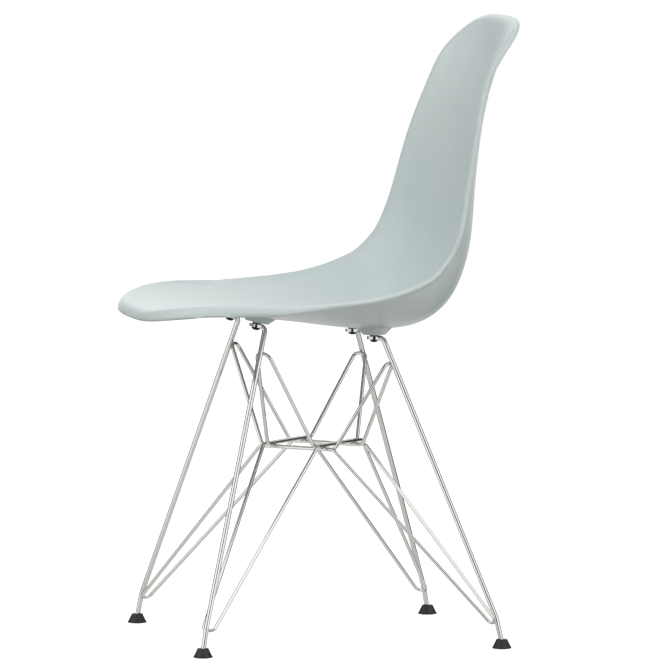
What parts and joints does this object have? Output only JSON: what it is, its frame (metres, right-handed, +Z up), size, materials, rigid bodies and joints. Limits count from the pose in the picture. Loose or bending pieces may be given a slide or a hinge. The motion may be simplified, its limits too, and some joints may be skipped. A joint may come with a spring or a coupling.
{
  "type": "shell chair",
  "caption": "Side chair with a one-piece moulded plastic shell seat on a base of chromed bent wire legs and crossed wire braces, with tilting glide feet.",
  "frame": {"origin": "on the floor under the middle of the chair's box", "axes": "+Z up; -Y the way the sitter looks; +X to the sitter's left"},
  "size_m": [0.4628, 0.5196, 0.8295],
  "materials": {
    "shell_plastic": "satin moulded plastic with a fine texture, pale ice grey",
    "chrome_wire": "bright chrome plate on steel rod",
    "screw_black": "black zinc plate",
    "spacer_plastic": "satin grey",
    "insert_brass": "turned",
    "stud_steel": "turned",
    "glide_plastic": "satin black",
    "sole_nylon": "matt dark grey"
  },
  "bodies": {
    "chair_frame": {"seat_shell": "shell_plastic", "insert_front_left": "insert_brass", "insert_front_right": "insert_brass", "insert_rear_left": "insert_brass", "insert_rear_right": "insert_brass", "spacer_front_left": "spacer_plastic", "spacer_front_right": "spacer_plastic", "spacer_rear_left": "spacer_plastic", "spacer_rear_right": "spacer_plastic", "washer_front_left": "screw_black", "washer_front_right": "screw_black", "washer_rear_left": "screw_black", "washer_rear_right": "screw_black", "screw_front_left": "screw_black", "screw_front_right": "screw_black", "screw_rear_left": "screw_black", "screw_rear_right": "screw_black", "leg_front_left": "chrome_wire", "leg_front_right": "chrome_wire", "leg_rear_left": "chrome_wire", "leg_rear_right": "chrome_wire", "ball_stud_front_left": "stud_steel", "ball_stud_front_right": "stud_steel", "ball_stud_rear_left": "stud_steel", "ball_stud_rear_right": "stud_steel", "brace_upper_left": "chrome_wire", "brace_upper_right": "chrome_wire", "brace_lower_left": "chrome_wire", "brace_lower_right": "chrome_wire"},
    "foot_front_left": {"glide_front_left": "glide_plastic", "sole_pad_front_left": "sole_nylon"},
    "foot_front_right": {"glide_front_right": "glide_plastic", "sole_pad_front_right": "sole_nylon"},
    "foot_rear_left": {"glide_rear_left": "glide_plastic", "sole_pad_rear_left": "sole_nylon"},
    "foot_rear_right": {"glide_rear_right": "glide_plastic", "sole_pad_rear_right": "sole_nylon"}
  },
  "joints": [
    {"name": "foot_tilt_front_left", "type": "hinge", "parent": "chair_frame", "child": "foot_front_left", "pos_m": [0.196, -0.20657, 0.0068], "axis": [0.8848, 0.4659, 0], "range_deg": [-8, 8]},
    {"name": "foot_tilt_front_right", "type": "hinge", "parent": "chair_frame", "child": "foot_front_right", "pos_m": [-0.196, -0.20657, 0.0068], "axis": [0.8848, -0.4659, 0], "range_deg": [-8, 8]},
    {"name": "foot_tilt_rear_left", "type": "hinge", "parent": "chair_frame", "child": "foot_rear_left", "pos_m": [0.196, 0.20043, 0.0068], "axis": [0.8755, -0.4833, 0], "range_deg": [-8, 8]},
    {"name": "foot_tilt_rear_right", "type": "hinge", "parent": "chair_frame", "child": "foot_rear_right", "pos_m": [-0.196, 0.20043, 0.0068], "axis": [0.8755, 0.4833, 0], "range_deg": [-8, 8]}
  ]
}
